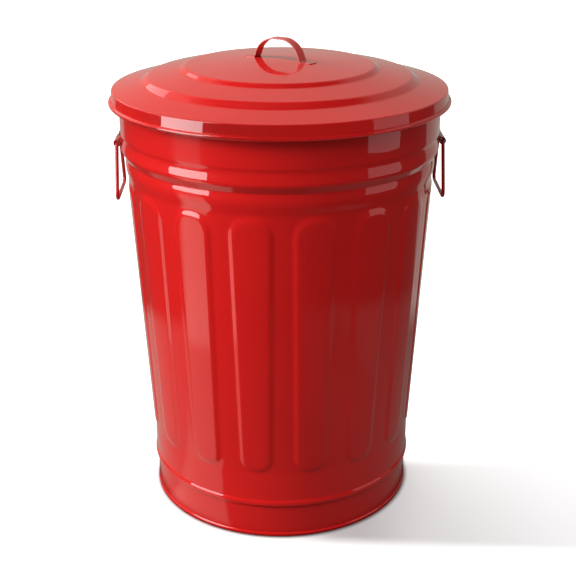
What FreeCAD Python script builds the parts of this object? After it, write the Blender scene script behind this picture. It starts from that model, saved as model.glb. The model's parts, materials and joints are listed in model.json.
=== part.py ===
import FreeCAD, Part
import math
import os
import re
import sys
import Sketcher
from FreeCAD import Placement, Rotation, Vector

# A fluted sheet-metal can with a loose lid, two drop bails and a strap handle.
# Millimetres. The floor is z = 0, the can's axis is Z, the bails are on -X and +X,
# and the front of the can looks along -Y.

# Driving dimensions: name, value, what it measures.
DIMENSIONS = (
    ("sheet", 0.7, "thickness of the pressed sheet"),
    # wall
    ("wall_foot", 184.8, "radius of the cone through the flute crests, at the floor"),
    ("wall_flare", 0.056, "radius that cone gains per millimetre of height"),
    ("flute_count", 16, "flutes round the wall"),
    ("flute_depth", 1.8, "how far the wall between flutes lies inside the crests"),
    ("flute_low", 106.5, "lower end of a flute's crest"),
    ("flute_high", 467.3, "upper end of a flute's crest"),
    ("flute_low_half", 15.3, "half the flat width of a flute at its lower end"),
    ("flute_high_half", 20.3, "half the flat width of a flute at its upper end"),
    ("flute_corner", 0.86, "end rounding as a share of the half width"),
    ("flute_run", 2.5, "run of a flute's ramp per millimetre of depth, at its sides and lower end"),
    ("flute_high_run", 5.5, "the same at its upper end"),
    ("flute_root", 6, "depth below the crest where the flute's block starts"),
    ("flute_cap", 1, "height above the crest where the flute's block ends"),
    ("low_blend", 110, "height where the plain lower wall meets the fluted stretch"),
    ("high_blend", 479, "height where the fluted stretch meets the shoulder"),
    ("plain_step", 0.6, "how far the plain wall just under the flutes lies inside the crests"),
    ("plain_low", 90, "height of that step below the flutes"),
    ("wall_round", 60, "rounding of the slight bends at the lower end of the fluted stretch"),
    ("blend_round", 25, "rounding of the bend at its upper end"),
    ("crest_reach", 4, "how far past the fluted stretch the crests are turned to their cone"),
    # seam at the foot of the wall
    ("seam_low", 48, "lower edge of the wall"),
    ("seam_high", 58, "top of the folded seam inside the wall"),
    ("seam_slope", 5, "height over which the wall's inner face leaves the seam"),
    ("seam_radius", 188.6, "radius of the wall's lower edge"),
    ("base_bead", 190.7, "radius of the bead above the lower edge"),
    ("base_bead_low", 50.5, "lower corner of that bead"),
    ("base_bead_high", 55.5, "upper corner of that bead"),
    ("base_bead_round", 1.5, "rounding of the bead"),
    ("base_wall", 188.9, "wall radius just above the bead"),
    ("base_wall_height", 60, "height where the wall leaves the bead"),
    # shoulder and collar
    ("brow_radius", 213, "wall radius at the lower corner of the shoulder"),
    ("brow_height", 492.5, "height of that corner"),
    ("shoulder_radius", 212.9, "wall radius at the upper corner of the shoulder"),
    ("shoulder_height", 500.5, "height of that corner"),
    ("shoulder_round", 35, "rounding of both corners"),
    ("neck_radius", 212, "wall radius in the neck under the collar"),
    ("neck_height", 507.5, "height of the neck"),
    ("neck_round", 1, "rounding there"),
    ("collar_radius", 218.3, "outer radius of the collar"),
    ("collar_low", 517.5, "lower corner of the collar"),
    ("collar_round", 3, "rounding of that corner"),
    ("crease_depth", 1.1, "depth of the crease in the collar"),
    ("crease_start", 522, "where the crease's long slope starts"),
    ("crease_brow", 2, "rounding there"),
    ("crease_low", 531, "lower corner of the crease"),
    ("crease_high", 536, "upper corner of the crease"),
    ("crease_end", 540, "where the collar is full again"),
    ("crease_round", 3, "rounding of the crease's other corners"),
    ("rim_height", 594.3, "height of the rim wire's centre"),
    ("rim_roll", 3, "outer radius of the rolled rim"),
    ("back_seam", 0.8, "how far the wall's lock seam stands out"),
    ("back_seam_turn", 2.4, "width of the lock seam, in degrees"),
    ("wire_gap", 0.05, "clearance round a wire in its roll, or a bail in its knuckle"),
    # foot
    ("band_radius", 187.3, "outer radius of the foot band"),
    ("foot_roll", 3, "outer radius of the foot's roll"),
    ("foot_roll_height", 2.8, "height of the foot wire's centre"),
    ("foot_roll_out", 1.3, "how far the roll stands out from the band"),
    ("band_low", 5, "lower edge of the band, within the roll's sheet"),
    ("band_high", 57.7, "upper edge of the band, just under the seam"),
    ("pan_height", 20, "height of the underside of the bottom"),
    ("pan_flange", 9, "depth of the bottom's flange"),
    ("pan_round", 2, "inner rounding of the flange"),
    # lid
    ("lid_radius", 227.3, "radius of the lid's edge"),
    ("lid_edge", 597.2, "height of the lid's edge"),
    ("lid_round", 1.6, "rounding of that edge"),
    ("skirt_radius", 228.4, "outer radius of the skirt's foot"),
    ("bead_radius", 229.4, "radius of the lid wire's centre"),
    ("bead_height", 580.5, "height of the lid wire's centre"),
    ("bead_roll", 2.75, "outer radius of the lid's rolled bead"),
    ("skirt_reach", 1.95, "how far above the wire's centre the skirt joins the roll"),
    ("outer_step_foot", 187.4, "radius of the outer step's lower edge"),
    ("outer_step_low", 606.1, "height of that edge"),
    ("outer_step_head", 178, "radius of the outer step's upper edge"),
    ("outer_step_high", 613.1, "height of that edge"),
    ("inner_step_foot", 134.9, "radius of the inner step's lower edge"),
    ("inner_step_low", 620.6, "height of that edge"),
    ("inner_step_head", 127.8, "radius of the inner step's upper edge"),
    ("inner_step_high", 625.5, "height of that edge"),
    ("step_round", 3, "rounding of the steps' edges"),
    ("dome_radius", 60, "radius where the lid's middle flattens"),
    ("dome_round", 60, "rounding there"),
    ("dome_high", 631, "height there"),
    ("crown_high", 633.6, "height of the lid's centre"),
    # strap handle
    ("strap_width", 16, "width of the strap handle"),
    ("strap_sheet", 1.6, "thickness of the strap"),
    ("strap_gap", 0.02, "gap between a foot and the lid that it is welded to"),
    ("strap_tip", 54, "half the length over the feet"),
    ("strap_knee", 36, "half the span between the knees"),
    ("strap_shoulder", 25, "half the span between the upper corners"),
    ("strap_rise", 28.44, "height of the handle over its knees"),
    ("strap_knee_round", 5, "rounding of a knee"),
    ("strap_shoulder_round", 28, "rounding of an upper corner"),
    ("strap_turn", 33.3, "how far the handle is turned, its right end forward"),
    # ears, rivets and bails
    ("ear_sheet", 1.2, "thickness of an ear"),
    ("ear_high", 544, "top of an ear's plate"),
    ("ear_high_half", 9, "half the width of the plate's top"),
    ("ear_low_half", 18, "half the width of the plate's foot and of the knuckle"),
    ("ear_low_round", 3, "rounding of the plate's lower corners"),
    ("ear_high_round", 4, "rounding of the plate's upper corners"),
    ("pivot_radius", 222.7, "distance of a bail's pivot from the can's axis"),
    ("pivot_height", 522, "height of a bail's pivot"),
    ("knuckle_radius", 3.8, "outer radius of an ear's knuckle"),
    ("rivet_radius", 2, "radius of a rivet's shank"),
    ("rivet_head", 3.2, "radius of a rivet's head"),
    ("rivet_head_height", 1.2, "height of a rivet's head"),
    ("rivet_half", 7, "half the distance between an ear's rivets"),
    ("rivet_height", 533.5, "height of the rivets"),
    ("rivet_sink", 0.03, "how far a head dips into the ear's curve at its middle"),
    ("rivet_back", 0.25, "how far a flat head is from the crease inside the can"),
    ("bail_wire", 2.5, "radius of a bail's wire"),
    ("bail_gap", 3, "gap between a bail's ends inside the knuckle"),
    ("bail_shoulder", 21.2, "half the width of a bail at its pivot"),
    ("bail_shoulder_round", 4, "bend radius there"),
    ("bail_half", 47, "half the width of a bail's grip"),
    ("bail_round", 7, "bend radius at the grip's ends"),
    ("bail_drop", 72, "distance from the pivot to the grip's centre"),
    ("spare", 10, "how far a cut reaches past what it cuts"),
)
NAMES = {name for name, value, meaning in DIMENSIONS}

doc = FreeCAD.newDocument("can")


def make_dimensions():
    """The sheet of driving dimensions, one row each."""
    dims = doc.addObject("Spreadsheet::Sheet", "dims")
    for row, (name, value, meaning) in enumerate(DIMENSIONS, start=1):
        dims.set(f"A{row}", meaning)
        dims.set(f"B{row}", str(value))
        dims.setAlias(f"B{row}", name)
    doc.recompute()
    return dims


def formula(text):
    """An expression in which each dimension is a cell of the sheet."""
    return re.sub(r"[a-z_]+", lambda word: "dims." + word[0] if word[0] in NAMES else word[0], text)


def number(text):
    """The value of an expression in the dimensions."""
    return float(doc.dims.evalExpression(re.sub(r"\bdims\.", "", text)))


def bind(item, **sizes):
    """Binds properties to expressions; a double underscore stands for a dot."""
    for name, text in sizes.items():
        item.setExpression(name.replace("__", "."), formula(text))


def crest(height):
    """The radius of the cone through the flute crests at a height."""
    return f"(wall_foot + wall_flare * ({height}))"


def new_body(label):
    body = doc.addObject("PartDesign::Body", label)
    body.Label = label
    return body


def new_sketch(body, name, role, offset=None):
    """A sketch on one of the body's own planes, moved along or turned from it by an offset."""
    sketch = body.newObject("Sketcher::SketchObject", name)
    plane = next(item for item in body.Origin.OriginFeatures if item.Role == role)
    sketch.AttachmentSupport = (plane, "")
    sketch.MapMode = "FlatFace"
    if offset:
        sketch.AttachmentOffset = offset
    return sketch


def pin(sketch, index, end, x, y):
    """Fixes a point of the sketch at a place given by two expressions."""
    for kind, text, axis in (("DistanceX", x, -2), ("DistanceY", y, -1)):
        value = number(text)
        if abs(value) < 1e-9:
            sketch.addConstraint(Sketcher.Constraint("PointOnObject", index, end, axis))
        else:
            rule = sketch.addConstraint(Sketcher.Constraint(kind, index, end, value))
            sketch.setExpression(f"Constraints[{rule}]", formula(text))


def corner_arc(before, corner, after, radius):
    """The arc that rounds a corner: its two tangent points, its geometry and its sense."""
    arrive = (corner - before).normalize()
    leave = (after - corner).normalize()
    turn = arrive.getAngle(leave)
    reach = radius * math.tan(turn / 2)
    start = corner - arrive * reach
    stop = corner + leave * reach
    left = arrive.x * leave.y - arrive.y * leave.x > 0
    side = Vector(-arrive.y, arrive.x, 0) if left else Vector(arrive.y, -arrive.x, 0)
    centre = start + side * radius
    first, last = (start, stop) if left else (stop, start)
    angles = [math.atan2(point.y - centre.y, point.x - centre.x) for point in (first, last)]
    if angles[1] < angles[0]:
        angles[1] += 2 * math.pi
    arc = Part.ArcOfCircle(Part.Circle(centre, Vector(0, 0, 1), radius), *angles)
    return start, stop, arc, left


def trace(sketch, corners, closed=True):
    """Straight runs through the corners (x, y) or (x, y, radius), which rounds that corner."""
    points = [Vector(number(corner[0]), number(corner[1]), 0) for corner in corners]
    count = len(points)
    arrive = list(points)
    leave = list(points)
    arcs = {}
    for index, corner in enumerate(corners):
        if len(corner) < 3:
            continue
        around = points[index - 1], points[index], points[(index + 1) % count]
        start, stop, arc, left = corner_arc(*around, number(corner[2]))
        arrive[index] = start
        leave[index] = stop
        arcs[index] = sketch.addGeometry(arc, False), left
    runs = []
    for index in range(count if closed else count - 1):
        line = Part.LineSegment(leave[index], arrive[(index + 1) % count])
        runs.append(sketch.addGeometry(line, False))
    for index, corner in enumerate(corners):
        ends_here = not closed and index in (0, count - 1)
        into = runs[index - 1]
        out = runs[index % len(runs)]
        if index in arcs:
            arc, left = arcs[index]
            begin, finish = (1, 2) if left else (2, 1)
            sketch.addConstraint(Sketcher.Constraint("Tangent", into, 2, arc, begin))
            sketch.addConstraint(Sketcher.Constraint("Tangent", arc, finish, out, 1))
            rule = sketch.addConstraint(Sketcher.Constraint("Radius", arc, number(corner[2])))
            sketch.setExpression(f"Constraints[{rule}]", formula(corner[2]))
            apex = sketch.addGeometry(Part.Point(points[index]), True)
            sketch.addConstraint(Sketcher.Constraint("PointOnObject", apex, 1, into))
            sketch.addConstraint(Sketcher.Constraint("PointOnObject", apex, 1, out))
            pin(sketch, apex, 1, corner[0], corner[1])
        elif ends_here:
            run, end = (runs[0], 1) if index == 0 else (runs[-1], 2)
            pin(sketch, run, end, corner[0], corner[1])
        else:
            sketch.addConstraint(Sketcher.Constraint("Coincident", into, 2, out, 1))
            pin(sketch, out, 1, corner[0], corner[1])


def circle(sketch, x, y, radius):
    """A circle whose centre and radius are expressions."""
    centre = Vector(number(x), number(y), 0)
    index = sketch.addGeometry(Part.Circle(centre, Vector(0, 0, 1), number(radius)), False)
    pin(sketch, index, 3, x, y)
    rule = sketch.addConstraint(Sketcher.Constraint("Radius", index, number(radius)))
    sketch.setExpression(f"Constraints[{rule}]", formula(radius))


def spin(body, sketch, name, axis="V_Axis", cut=False):
    """A full turn of a sketch about one of its own axes, added or cut away."""
    doc.recompute()
    before = body.Shape.Volume if cut else 0
    feature = body.newObject("PartDesign::Groove" if cut else "PartDesign::Revolution", name)
    feature.Profile = sketch
    feature.ReferenceAxis = (sketch, [axis])
    feature.Angle = 360
    doc.recompute()
    if cut and not body.Shape.Volume < before - 1:
        sys.exit(f"{name} cuts nothing")
    return feature


def pad(body, sketch, name, length):
    """A pad to both sides of its sketch."""
    feature = body.newObject("PartDesign::Pad", name)
    feature.Profile = sketch
    feature.Midplane = True
    bind(feature, Length=length)
    return feature


def pocket(body, sketch, name, length):
    """A pocket to both sides of its sketch."""
    doc.recompute()
    before = body.Shape.Volume
    feature = body.newObject("PartDesign::Pocket", name)
    feature.Profile = sketch
    feature.Midplane = True
    bind(feature, Length=length)
    doc.recompute()
    if not body.Shape.Volume < before - 1:
        sys.exit(f"{name} cuts nothing")


def rolled_edge(body, name, radius, height, roll):
    """The closed roll of sheet round a wire."""
    sketch = new_sketch(body, name + "_section", "XZ_Plane")
    circle(sketch, radius, height, roll)
    circle(sketch, radius, height, f"{roll} - sheet")
    spin(body, sketch, name)


# --- wall -------------------------------------------------------------------------------

# The wall's outer face from the base bead to the neck, as radius and height.
TAPER = (
    ("base_wall", "base_wall_height"),
    (f"{crest('plain_low')} - plain_step", "plain_low", "wall_round"),
    (f"{crest('low_blend')} - flute_depth", "low_blend", "wall_round"),
    (f"{crest('high_blend')} - flute_depth", "high_blend", "blend_round"),
    ("brow_radius", "brow_height", "shoulder_round"),
    ("shoulder_radius", "shoulder_height", "shoulder_round"),
)
COLLAR = (
    ("neck_radius", "neck_height", "neck_round"),
    ("collar_radius", "collar_low", "collar_round"),
    ("collar_radius", "crease_start", "crease_brow"),
    ("collar_radius - crease_depth", "crease_low", "crease_round"),
    ("collar_radius - crease_depth", "crease_high", "crease_round"),
    ("collar_radius", "crease_end", "crease_round"),
)


def moved(corners, inset):
    """The same corners with their radii reduced by an inset."""
    return [(f"{corner[0]} - {inset}", *corner[1:]) for corner in corners]


def flute_outline(body, name, inset, depth):
    """A flute's outline in the plane a depth above its crest, for its block's lower or upper end."""
    shrink = f"flute_run * ({depth})"
    sketch = new_sketch(body, name, "YZ_Plane", Placement(Vector(), Rotation(Vector(1, 0, 0), 1)))
    bind(
        sketch,
        AttachmentOffset__Base__z=f"wall_foot - {inset} + {depth}",
        AttachmentOffset__Rotation__Angle="atan(wall_flare)",
    )
    low = f"flute_low + {shrink}"
    high = f"flute_high - flute_high_run * ({depth})"
    low_half = f"flute_low_half - {shrink}"
    high_half = f"flute_high_half - {shrink}"
    low_round = f"flute_low_half * flute_corner - {shrink}"
    high_round = f"flute_high_half * flute_corner - {shrink}"
    trace(
        sketch,
        [
            (f"-({low_half})", low, low_round),
            (low_half, low, low_round),
            (high_half, high, high_round),
            (f"-({high_half})", high, high_round),
        ],
    )
    return sketch


def fluted_solid(label, inset, base):
    """The solid inside the can's outer face, or with an inset, inside its inner face."""
    body = new_body(label)
    profile = new_sketch(body, label + "_profile", "XZ_Plane")
    top = (f"collar_radius - {inset}", "rim_height")
    corners = [*base, *moved(TAPER[1:], inset), *moved(COLLAR, inset), top, ("0", "rim_height")]
    trace(profile, corners)
    spin(body, profile, label + "_turned")

    flute = body.newObject("PartDesign::AdditiveLoft", label + "_flute")
    flute.Profile = flute_outline(body, label + "_flute_root", inset, "(-flute_root)")
    flute.Sections = [flute_outline(body, label + "_flute_cap", inset, "flute_cap")]
    flute.Ruled = True
    doc.recompute()
    ring = body.newObject("PartDesign::PolarPattern", label + "_flutes")
    ring.Originals = [flute]
    axis = next(item for item in body.Origin.OriginFeatures if item.Role == "Z_Axis")
    ring.Axis = (axis, [""])
    ring.Angle = 360
    bind(ring, Occurrences="flute_count")
    body.Tip = ring
    doc.recompute()

    trim = new_sketch(body, label + "_crest_profile", "XZ_Plane")
    low = "(plain_low - crest_reach)"
    high = "(high_blend + crest_reach)"
    outside = "collar_radius + spare"
    trace(
        trim,
        [
            (f"{crest(low)} - {inset}", low),
            (outside, low),
            (outside, high),
            (f"{crest(high)} - {inset}", high),
        ],
    )
    spin(body, trim, label + "_crests", cut=True)
    bind(body, Placement__Rotation__Angle="180 / flute_count")
    return body


def make_wall_outside():
    base = [
        ("0", "seam_low"),
        ("seam_radius", "seam_low"),
        ("base_bead", "base_bead_low", "base_bead_round"),
        ("base_bead", "base_bead_high", "base_bead_round"),
        TAPER[0],
    ]
    return fluted_solid("wall_outside", "0", base)


def make_wall_inside():
    base = [
        ("0", "seam_low - spare"),
        ("band_radius", "seam_low - spare"),
        ("band_radius", "seam_high"),
        ("base_wall - sheet", "seam_high + seam_slope"),
    ]
    return fluted_solid("wall_inside", "sheet", base)


def make_rim_roll():
    body = new_body("rim_rolled")
    rolled_edge(body, "rim_roll", "collar_radius - sheet + rim_roll", "rim_height", "rim_roll")
    return body


def make_back_seam():
    """The lock seam that closes the wall at the back, from the base bead to the neck."""
    body = new_body("back_seam_strip")
    sketch = new_sketch(body, "back_seam_section", "YZ_Plane")
    run = [(corner[0], corner[1]) for corner in TAPER]
    trace(sketch, moved(run, "(-back_seam)") + moved(run[::-1], "sheet / 2"))
    strip = body.newObject("PartDesign::Revolution", "back_seam_turned")
    strip.Profile = sketch
    strip.ReferenceAxis = (sketch, ["V_Axis"])
    strip.Midplane = True
    bind(strip, Angle="back_seam_turn")
    return body


def make_rivet_holes():
    """The rivets' holes, drilled right across the can on both sides of the ears' middles."""
    holes = []
    for side, sign in (("front", "-"), ("back", "")):
        hole = doc.addObject("Part::Cylinder", f"rivet_hole_{side}")
        hole.Placement = Placement(Vector(), Rotation(Vector(0, 1, 0), 90))
        bind(
            hole,
            Radius="rivet_radius",
            Height="2 * (collar_radius + ear_sheet)",
            Placement__Base__x="-(collar_radius + ear_sheet)",
            Placement__Base__y=f"{sign}rivet_half",
            Placement__Base__z="rivet_height",
        )
        holes.append(hole)
    return holes


def make_body_shell():
    inside = doc.addObject("Part::MultiFuse", "can_inside")
    inside.Shapes = [make_wall_inside(), *make_rivet_holes()]
    wall = doc.addObject("Part::Cut", "wall_sheet")
    wall.Base = make_wall_outside()
    wall.Tool = inside
    shell = doc.addObject("Part::MultiFuse", "body_shell")
    shell.Shapes = [wall, make_rim_roll(), make_back_seam()]
    shell.Refine = False
    shell.Label = "body_shell"


# --- wires and foot ---------------------------------------------------------------------


def make_wire(label, radius, height, roll):
    """A ring of wire inside a rolled edge."""
    wire = doc.addObject("Part::Torus", label)
    wire.Label = label
    bind(wire, Radius1=radius, Radius2=f"{roll} - sheet - wire_gap", Placement__Base__z=height)


def make_foot_ring():
    """The band under the wall, rolled round a wire and flattened where it stands on the floor."""
    body = new_body("foot_ring")
    centre = "band_radius + foot_roll_out - foot_roll"
    rolled_edge(body, "foot_roll_turned", centre, "foot_roll_height", "foot_roll")
    band = new_sketch(body, "foot_band_section", "XZ_Plane")
    trace(
        band,
        [
            ("band_radius - sheet", "band_low"),
            ("band_radius", "band_low"),
            ("band_radius", "band_high"),
            ("band_radius - sheet", "band_high"),
        ],
    )
    spin(body, band, "foot_band_turned")
    flat = new_sketch(body, "foot_flat_section", "XZ_Plane")
    trace(
        flat,
        [
            ("band_radius - spare", "-spare"),
            ("band_radius + spare", "-spare"),
            ("band_radius + spare", "0"),
            ("band_radius - spare", "0"),
        ],
    )
    spin(body, flat, "foot_flat", cut=True)


def make_bottom_pan():
    """The bottom: a flat disc with a flange turned down inside the foot band."""
    body = new_body("bottom_pan")
    section = new_sketch(body, "pan_section", "XZ_Plane")
    edge = "band_radius - sheet"
    trace(
        section,
        [
            ("0", "pan_height"),
            (f"{edge} - sheet", "pan_height", "pan_round"),
            (f"{edge} - sheet", "pan_height - pan_flange"),
            (edge, "pan_height - pan_flange"),
            (edge, "pan_height + sheet", "pan_round + sheet"),
            ("0", "pan_height + sheet"),
        ],
    )
    spin(body, section, "pan_turned")


# --- lid --------------------------------------------------------------------------------

# The lid's upper face from its centre to its edge, as radius and height.
LID = (
    ("0", "crown_high"),
    ("dome_radius", "dome_high", "dome_round"),
    ("inner_step_head", "inner_step_high", "step_round"),
    ("inner_step_foot", "inner_step_low", "step_round"),
    ("outer_step_head", "outer_step_high", "step_round"),
    ("outer_step_foot", "outer_step_low", "step_round"),
)


def make_lid_pan():
    """The lid's stepped top and its skirt, rolled outward round a wire."""
    body = new_body("lid_pan")
    section = new_sketch(body, "lid_section", "XZ_Plane")
    skirt_low = "bead_height + skirt_reach"
    under = [(corner[0], f"{corner[1]} - sheet", *corner[2:]) for corner in LID]
    trace(
        section,
        [
            *LID,
            ("lid_radius", "lid_edge", "lid_round"),
            ("skirt_radius", skirt_low),
            ("skirt_radius - sheet", skirt_low),
            ("lid_radius - sheet", "lid_edge - sheet", "lid_round - sheet"),
            *under[::-1],
        ],
    )
    spin(body, section, "lid_turned")
    rolled_edge(body, "lid_roll", "bead_radius", "bead_height", "bead_roll")


def make_lid_handle():
    """The strap bent into an arch with its feet turned outward along the lid's slope."""
    body = new_body("lid_handle")
    slope = "(crown_high - dome_high) / dome_radius"
    fall = f"(strap_tip - strap_knee) * {slope}"
    spine = new_sketch(body, "strap_spine", "XZ_Plane")
    trace(
        spine,
        [
            ("-strap_tip", f"-({fall})"),
            ("-strap_knee", "0", "strap_knee_round"),
            ("-strap_shoulder", "strap_rise - strap_sheet", "strap_shoulder_round"),
            ("strap_shoulder", "strap_rise - strap_sheet", "strap_shoulder_round"),
            ("strap_knee", "0", "strap_knee_round"),
            ("strap_tip", f"-({fall})"),
        ],
        closed=False,
    )
    section = new_sketch(body, "strap_section", "YZ_Plane")
    bind(section, AttachmentOffset__Base__y=f"-({fall})", AttachmentOffset__Base__z="-strap_tip")
    trace(
        section,
        [
            ("-strap_width / 2", "-strap_sheet / 2"),
            ("strap_width / 2", "-strap_sheet / 2"),
            ("strap_width / 2", "strap_sheet / 2"),
            ("-strap_width / 2", "strap_sheet / 2"),
        ],
    )
    sweep(body, section, spine, "strap_bent")
    bind(
        body,
        Placement__Base__z=f"crown_high - strap_knee * {slope} + strap_gap + strap_sheet / 2",
        Placement__Rotation__Angle="-strap_turn",
    )


def sweep(body, section, spine, name):
    """A section carried along a path."""
    doc.recompute()
    pipe = body.newObject("PartDesign::AdditivePipe", name)
    pipe.Profile = section
    pipe.Spine = (spine, [])
    pipe.Refine = False


# --- ears, rivets and bails -------------------------------------------------------------


def facing(body, side):
    """Turns a piece that is made for the +X side towards its own side."""
    body.Placement = Placement(Vector(), Rotation(Vector(0, 0, 1), 0 if side == "right" else 180))


def make_ear(side):
    """A tapered plate on the collar that ends in a knuckle, which carries the bail."""
    body = new_body(f"ear_{side}")
    plate = new_sketch(body, f"ear_{side}_plate", "YZ_Plane")
    bind(plate, AttachmentOffset__Base__z="collar_radius")
    trace(
        plate,
        [
            ("-ear_low_half", "pivot_height"),
            ("ear_low_half", "pivot_height"),
            ("ear_low_half", "pivot_height + knuckle_radius", "ear_low_round"),
            ("ear_high_half", "ear_high", "ear_high_round"),
            ("-ear_high_half", "ear_high", "ear_high_round"),
            ("-ear_low_half", "pivot_height + knuckle_radius", "ear_low_round"),
        ],
    )
    pad(body, plate, f"ear_{side}_pad", "8 * ear_sheet")
    faces = new_sketch(body, f"ear_{side}_faces", "XZ_Plane")
    for near, far in (
        ("collar_radius - spare", "collar_radius"),
        ("collar_radius + ear_sheet", "collar_radius + spare"),
    ):
        low = "pivot_height - spare"
        high = "ear_high + spare"
        trace(faces, [(near, low), (far, low), (far, high), (near, high)])
    spin(body, faces, f"ear_{side}_curved", cut=True)
    knuckle = new_sketch(body, f"ear_{side}_knuckle", "XZ_Plane")
    circle(knuckle, "pivot_radius", "pivot_height", "knuckle_radius")
    pad(body, knuckle, f"ear_{side}_rolled", "2 * ear_low_half")
    bore = new_sketch(body, f"ear_{side}_bore", "XZ_Plane")
    circle(bore, "pivot_radius", "pivot_height", "bail_wire + wire_gap")
    pocket(body, bore, f"ear_{side}_bored", "2 * (ear_low_half + spare)")
    holes = new_sketch(body, f"ear_{side}_holes", "YZ_Plane")
    bind(holes, AttachmentOffset__Base__z="collar_radius")
    circle(holes, "-rivet_half", "rivet_height", "rivet_radius")
    circle(holes, "rivet_half", "rivet_height", "rivet_radius")
    pocket(body, holes, f"ear_{side}_drilled", "8 * ear_sheet")
    facing(body, side)


def make_ear_rivets(side):
    """Two rivets, from their flat heads inside the can to their round heads on the ear."""
    body = new_body(f"ear_rivets_{side}")
    section = new_sketch(body, f"ear_rivets_{side}_section", "XZ_Plane")
    seat = "collar_radius + ear_sheet - rivet_sink"
    back = "collar_radius - crease_depth - sheet - rivet_back"
    trace(
        section,
        [
            (f"{back} - rivet_head_height / 2", "0"),
            (f"{back} - rivet_head_height / 2", "rivet_head"),
            (back, "rivet_head"),
            (back, "rivet_radius"),
            (seat, "rivet_radius"),
            (seat, "rivet_head"),
            (f"{seat} + rivet_head_height", "rivet_head", "0.9 * rivet_head_height"),
            (f"{seat} + rivet_head_height", "0"),
        ],
    )
    rivet = spin(body, section, f"ear_rivets_{side}_turned", axis="H_Axis")
    pair = body.newObject("PartDesign::LinearPattern", f"ear_rivets_{side}_pair")
    pair.Originals = [rivet]
    axis = next(item for item in body.Origin.OriginFeatures if item.Role == "Y_Axis")
    pair.Direction = (axis, [""])
    pair.Occurrences = 2
    bind(pair, Length="2 * rivet_half")
    body.Tip = pair
    facing(body, side)
    sign = "-" if side == "right" else ""
    bind(body, Placement__Base__y=f"{sign}rivet_half", Placement__Base__z="rivet_height")


def make_bail(side):
    """A wire loop that hangs from its two ends in the knuckle."""
    body = new_body(f"bail_{side}")
    spine = new_sketch(body, f"bail_{side}_spine", "YZ_Plane")
    trace(
        spine,
        [
            ("-bail_gap / 2", "0"),
            ("-bail_shoulder", "0", "bail_shoulder_round"),
            ("-bail_half", "-bail_drop", "bail_round"),
            ("bail_half", "-bail_drop", "bail_round"),
            ("bail_shoulder", "0", "bail_shoulder_round"),
            ("bail_gap / 2", "0"),
        ],
        closed=False,
    )
    section = new_sketch(body, f"bail_{side}_section", "XZ_Plane")
    bind(section, AttachmentOffset__Base__z="bail_gap / 2")
    circle(section, "0", "0", "bail_wire")
    sweep(body, section, spine, f"bail_{side}_bent")
    sign = "" if side == "right" else "-"
    bind(body, Placement__Base__x=f"{sign}pivot_radius", Placement__Base__z="pivot_height")


NODES = (
    "body_shell",
    "body_rim_wire",
    "foot_ring",
    "foot_wire",
    "bottom_pan",
    "lid_pan",
    "lid_rim_wire",
    "lid_handle",
    "ear_left",
    "ear_right",
    "ear_rivets_left",
    "ear_rivets_right",
    "bail_left",
    "bail_right",
)


def make_all():
    make_body_shell()
    make_wire("body_rim_wire", "collar_radius - sheet + rim_roll", "rim_height", "rim_roll")
    make_foot_ring()
    foot_centre = "band_radius + foot_roll_out - foot_roll"
    make_wire("foot_wire", foot_centre, "foot_roll_height", "foot_roll")
    make_bottom_pan()
    make_lid_pan()
    make_wire("lid_rim_wire", "bead_radius", "bead_height", "bead_roll")
    make_lid_handle()
    for side in ("left", "right"):
        make_ear(side)
        make_ear_rivets(side)
        make_bail(side)
    doc.recompute()


def check_all():
    """Stops where any object failed or any sub-part has no sound shape."""
    for item in doc.Objects:
        if {"Invalid", "Error"} & set(item.State):
            sys.exit(f"{item.Name} failed: {item.State}")
    for node in NODES:
        shape = doc.getObjectsByLabel(node)[0].Shape
        if shape.isNull() or not shape.isValid():
            sys.exit(f"{node} has no sound shape")
        box = shape.BoundBox
        print(
            f"{node:18s} solids {len(shape.Solids)} volume {shape.Volume / 1000:9.2f} cm3"
            f"  x {box.XMin:8.2f} {box.XMax:8.2f}  y {box.YMin:8.2f} {box.YMax:8.2f}"
            f"  z {box.ZMin:7.2f} {box.ZMax:7.2f}"
        )


def write_all():
    os.makedirs("parts", exist_ok=True)
    for node in NODES:
        doc.getObjectsByLabel(node)[0].Shape.exportStep(f"parts/{node}.step")


make_dimensions()
make_all()
check_all()
write_all()
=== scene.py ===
"""The looks of a red enamelled trash can with a loose lid, two wire bails and a strap handle.

Sizes are in millimetres and are scaled to metres where a mesh is made. The floor is z = 0,
the can's axis is Z, the front looks along -Y and the bails are on -X and +X.
"""

import json
import math

import bmesh
import bpy
from mathutils import Matrix, Vector


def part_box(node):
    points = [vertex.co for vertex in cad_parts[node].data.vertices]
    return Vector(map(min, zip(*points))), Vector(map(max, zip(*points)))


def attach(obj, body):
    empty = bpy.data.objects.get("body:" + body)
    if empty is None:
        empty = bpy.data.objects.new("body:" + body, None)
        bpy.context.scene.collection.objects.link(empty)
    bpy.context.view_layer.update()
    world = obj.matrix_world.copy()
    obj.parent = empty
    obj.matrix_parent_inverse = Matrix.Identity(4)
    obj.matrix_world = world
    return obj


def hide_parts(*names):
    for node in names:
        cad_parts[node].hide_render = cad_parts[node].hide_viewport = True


MM = 0.001
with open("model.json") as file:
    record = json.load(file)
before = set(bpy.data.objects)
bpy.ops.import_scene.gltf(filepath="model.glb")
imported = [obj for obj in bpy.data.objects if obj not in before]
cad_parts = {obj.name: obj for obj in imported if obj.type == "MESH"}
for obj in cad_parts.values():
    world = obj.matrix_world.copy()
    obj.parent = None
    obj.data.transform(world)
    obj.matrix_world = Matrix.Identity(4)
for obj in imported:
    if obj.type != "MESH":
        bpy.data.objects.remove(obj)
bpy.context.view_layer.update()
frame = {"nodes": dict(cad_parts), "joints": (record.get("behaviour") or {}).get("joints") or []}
PIVOTS = {joint["name"]: joint["pos_m"] for joint in frame["joints"] if joint["type"] == "hinge"}

# --- sizes of the can -------------------------------------------------------------------

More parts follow.
